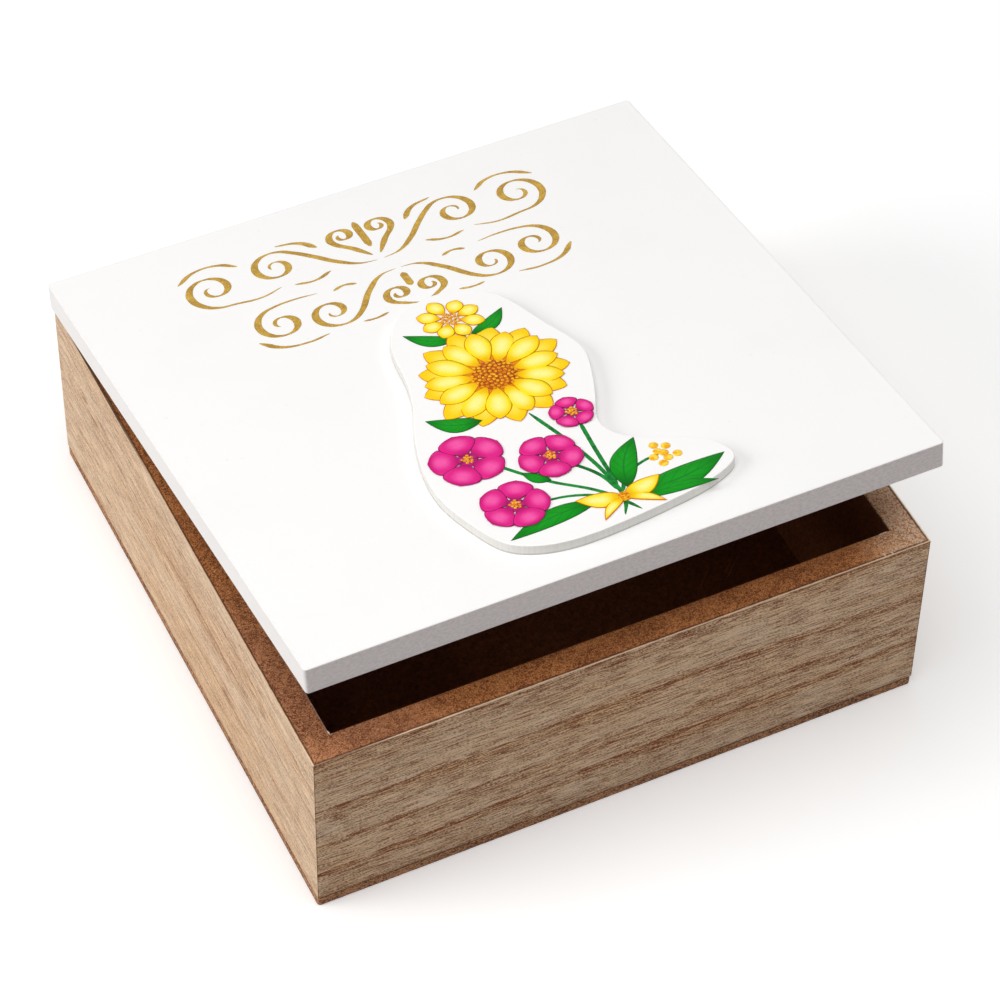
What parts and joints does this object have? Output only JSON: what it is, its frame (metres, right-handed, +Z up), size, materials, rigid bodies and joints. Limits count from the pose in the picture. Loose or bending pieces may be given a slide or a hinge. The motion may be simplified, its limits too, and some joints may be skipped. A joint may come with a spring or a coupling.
{
  "type": "hinged wooden keepsake box",
  "caption": "Square shallow box with mitred sides, a flat base panel and a plain painted lid board hinged along the back, with a cut-out plaque on the lid, for papers and keepsakes.",
  "frame": {"origin": "centre of the base panel's underside, on the surface the box stands on", "axes": "+Z up, +X to the right seen from the front, the front faces -Y and the hinges are at +Y"},
  "size_m": [0.182, 0.1833, 0.0985],
  "materials": {
    "mdf": "bare sanded fibreboard",
    "mdf_base": "bare fibreboard",
    "oak_skin": "matt wood-grain skin",
    "steel_pins": "bright drawn",
    "brass": "lacquered",
    "brass_pin": "drawn",
    "brass_screws": "turned",
    "white_paint": "white satin paint",
    "white_plaque": "white satin paint with a printed face"
  },
  "bodies": {
    "box": {"front_board": "mdf", "right_board": "mdf", "back_board": "mdf", "left_board": "mdf", "front_skin": "oak_skin", "right_skin": "oak_skin", "back_skin": "oak_skin", "left_skin": "oak_skin", "base_panel": "mdf_base", "base_pins": "steel_pins", "left_hinge_box_leaf": "brass", "right_hinge_box_leaf": "brass", "left_hinge_pin": "brass_pin", "right_hinge_pin": "brass_pin", "box_hinge_screws": "brass_screws"},
    "lid": {"lid_board": "white_paint", "lid_plaque": "white_plaque", "left_hinge_lid_leaf": "brass", "right_hinge_lid_leaf": "brass", "lid_hinge_screws": "brass_screws"}
  },
  "joints": [
    {"name": "lid_hinge", "type": "hinge", "parent": "box", "child": "lid", "pos_m": [0, 0.0918, 0.06015], "axis": [-1, 0, 0], "range_deg": [-9, 184]}
  ]
}
